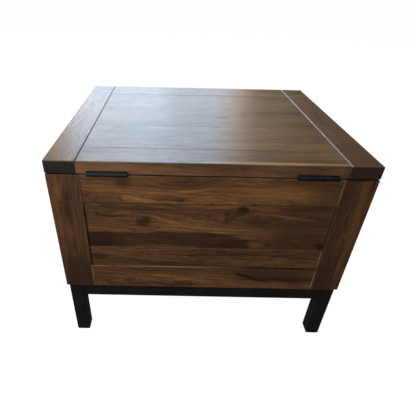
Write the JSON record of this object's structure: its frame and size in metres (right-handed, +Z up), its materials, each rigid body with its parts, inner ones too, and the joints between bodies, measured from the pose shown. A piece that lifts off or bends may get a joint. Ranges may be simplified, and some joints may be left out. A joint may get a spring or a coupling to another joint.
{
  "type": "lift top end table",
  "caption": "Storage end table: a framed solid wood box with a hinged lid on folding stays, raised on a low square-tube steel base.",
  "frame": {"origin": "on the floor, under the middle of the whole table", "axes": "+Z up, the front faces -Y, the hinges are on the +Y side, +X to the right seen from the front"},
  "size_m": [0.61, 0.5174, 0.464],
  "materials": {
    "lid_wood": "satin lacquer over dark walnut stain",
    "case_wood": "satin lacquer over dark walnut stain",
    "inner_wood": "matt stain",
    "base_steel": "black powder coat",
    "hinge_steel": "satin black lacquer",
    "stay_steel": "zinc plated",
    "glide_plastic": "black",
    "bumper_rubber": "matt"
  },
  "bodies": {
    "case": {"base_corner_tabs": "base_steel", "base_leg_front_left": "base_steel", "base_leg_front_right": "base_steel", "base_leg_glides": "glide_plastic", "base_leg_rear_left": "base_steel", "base_leg_rear_right": "base_steel", "base_rail_front": "base_steel", "base_rail_left": "base_steel", "base_rail_rear": "base_steel", "base_rail_right": "base_steel", "base_screws": "stay_steel", "floor_cleats": "inner_wood", "floor_panel": "inner_wood", "front_bottom_rail": "case_wood", "front_lower_board": "case_wood", "front_top_rail": "case_wood", "front_upper_board": "case_wood", "hinge_case_leaves": "hinge_steel", "hinge_case_screws": "hinge_steel", "hinge_pins": "hinge_steel", "left_bottom_rail": "case_wood", "left_lower_board": "case_wood", "left_top_rail": "case_wood", "left_upper_board": "case_wood", "lid_bumpers": "bumper_rubber", "post_front_left": "case_wood", "post_front_right": "case_wood", "post_rear_left": "case_wood", "post_rear_right": "case_wood", "rear_bottom_rail": "case_wood", "rear_lower_board": "case_wood", "rear_top_rail": "case_wood", "rear_upper_board": "case_wood", "right_bottom_rail": "case_wood", "right_lower_board": "case_wood", "right_top_rail": "case_wood", "right_upper_board": "case_wood", "stay_case_brackets": "stay_steel", "stay_case_rivets": "stay_steel", "stay_case_screws": "stay_steel"},
    "lid": {"hinge_lid_leaves": "hinge_steel", "hinge_lid_screws": "hinge_steel", "lid_end_left": "lid_wood", "lid_end_right": "lid_wood", "lid_field_board_1": "lid_wood", "lid_field_board_2": "lid_wood", "lid_field_board_3": "lid_wood", "lid_front_rail": "lid_wood", "lid_rear_rail": "lid_wood", "stay_lid_brackets": "stay_steel", "stay_lid_rivets": "stay_steel", "stay_lid_screws": "stay_steel"},
    "stay_lower_left": {"stay_lower_arm_left": "stay_steel", "stay_elbow_rivet_left": "stay_steel"},
    "stay_upper_left": {"stay_upper_arm_left": "stay_steel"},
    "stay_lower_right": {"stay_lower_arm_right": "stay_steel", "stay_elbow_rivet_right": "stay_steel"},
    "stay_upper_right": {"stay_upper_arm_right": "stay_steel"}
  },
  "joints": [
    {"name": "lid_hinge", "type": "hinge", "parent": "case", "child": "lid", "pos_m": [0, 0.25425, 0.4408], "axis": [-1, 0, 0], "range_deg": [0, 95]},
    {"name": "stay_foot_left", "type": "hinge", "parent": "case", "child": "stay_lower_left", "pos_m": [-0.2401, 0.19775, 0.3028], "axis": [-1, 0, 0], "range_deg": [0, 95]},
    {"name": "stay_elbow_left", "type": "hinge", "parent": "stay_lower_left", "child": "stay_upper_left", "pos_m": [-0.2401, 0.04775, 0.2886], "axis": [-1, 0, 0], "range_deg": [-95, 0]},
    {"name": "stay_foot_right", "type": "hinge", "parent": "case", "child": "stay_lower_right", "pos_m": [0.2401, 0.19775, 0.3028], "axis": [-1, 0, 0], "range_deg": [0, 95]},
    {"name": "stay_elbow_right", "type": "hinge", "parent": "stay_lower_right", "child": "stay_upper_right", "pos_m": [0.2401, 0.04775, 0.2886], "axis": [-1, 0, 0], "range_deg": [-95, 0]}
  ],
  "couplings": [
    {"joint": "stay_foot_left", "follows": "lid_hinge", "ratio": 1},
    {"joint": "stay_elbow_left", "follows": "lid_hinge", "ratio": -1},
    {"joint": "stay_foot_right", "follows": "lid_hinge", "ratio": 1},
    {"joint": "stay_elbow_right", "follows": "lid_hinge", "ratio": -1}
  ]
}
